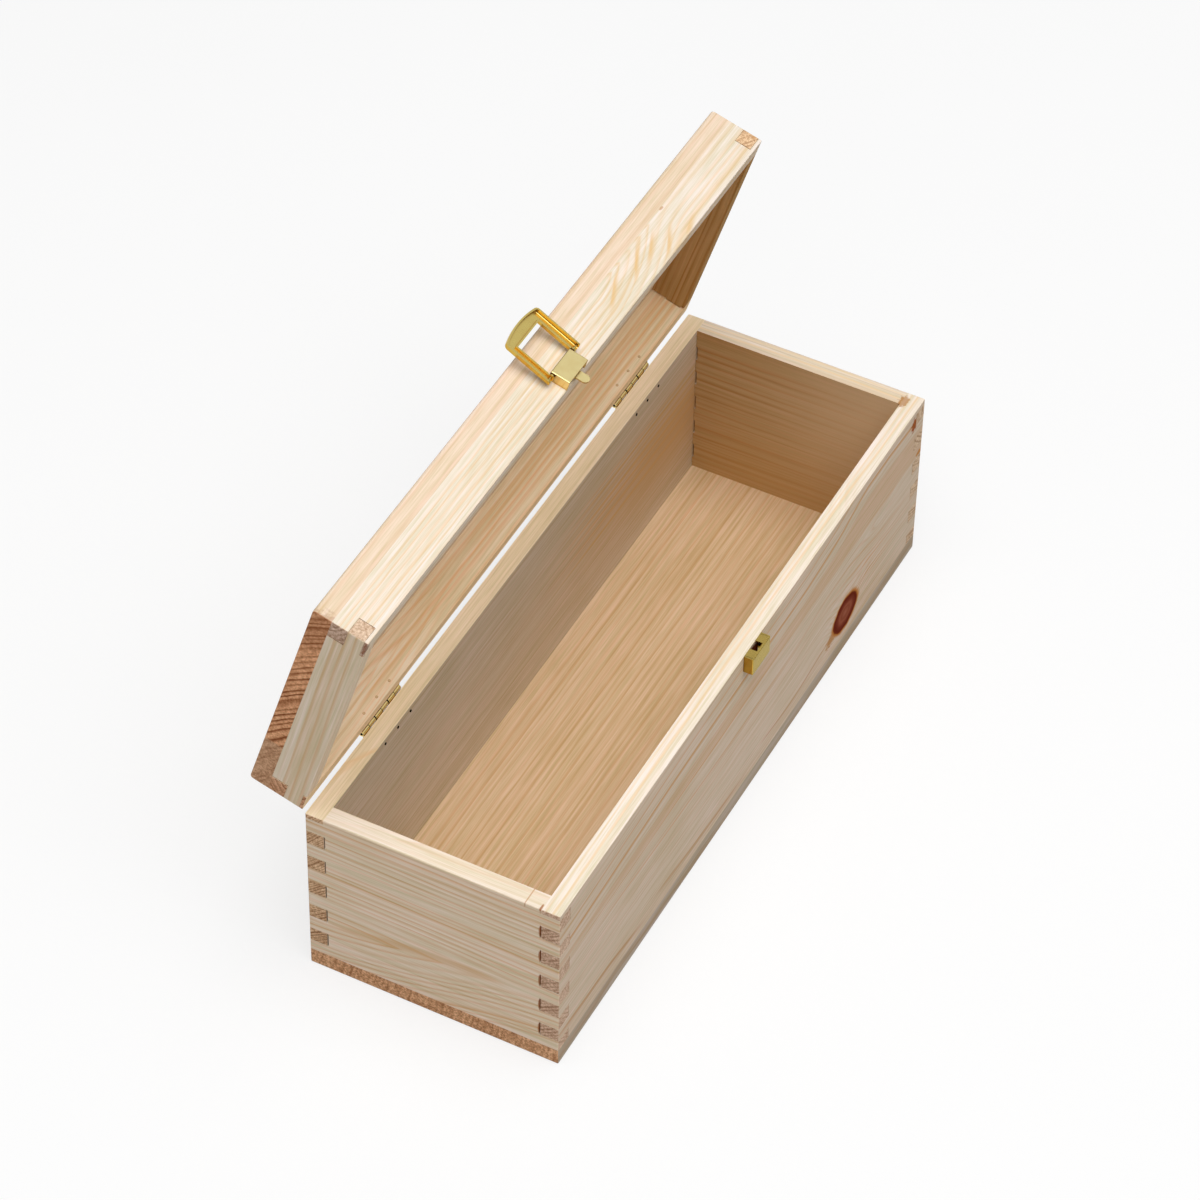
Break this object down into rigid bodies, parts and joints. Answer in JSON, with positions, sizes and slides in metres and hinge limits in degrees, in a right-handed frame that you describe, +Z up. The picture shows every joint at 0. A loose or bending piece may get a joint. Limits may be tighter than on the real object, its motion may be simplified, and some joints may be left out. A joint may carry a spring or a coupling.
{
  "type": "wooden gift box",
  "caption": "Long finger-jointed softwood presentation box with a back-hinged lid standing open and a brass bail clasp on the front.",
  "frame": {"origin": "centre of the underside, where the box stands", "axes": "+X along the box, -Y out of the front with the clasp, +Y out of the hinged back, +Z up"},
  "size_m": [0.326, 0.1392, 0.2132],
  "materials": {
    "pine": "bare planed softwood",
    "brass_plate": "bright plated, satin on the flats",
    "steel": "dull wire"
  },
  "bodies": {
    "box": {"bottom_board": "pine", "front_wall": "pine", "back_wall": "pine", "left_end_wall": "pine", "right_end_wall": "pine", "left_hinge_box_leaf": "brass_plate", "right_hinge_box_leaf": "brass_plate", "left_hinge_pin": "steel", "right_hinge_pin": "steel", "box_hinge_nails": "steel", "keeper": "brass_plate", "keeper_nails": "steel"},
    "lid": {"lid_top_board": "pine", "lid_front_rail": "pine", "lid_back_rail": "pine", "lid_left_rail": "pine", "lid_right_rail": "pine", "left_hinge_lid_leaf": "brass_plate", "right_hinge_lid_leaf": "brass_plate", "lid_hinge_nails": "steel", "clasp_plate": "brass_plate", "clasp_pin": "brass_plate", "clasp_nails": "steel"},
    "bail": {"clasp_bail": "brass_plate"}
  },
  "joints": [
    {"name": "lid_hinge", "type": "hinge", "parent": "box", "child": "lid", "pos_m": [0, 0.0569, 0.08715], "axis": [-1, 0, 0], "range_deg": [-73.6, 106.4]},
    {"name": "bail_pivot", "type": "hinge", "parent": "lid", "child": "bail", "pos_m": [0, 0.03142, 0.20047], "axis": [1, 0, 0], "range_deg": [0, 166]}
  ]
}
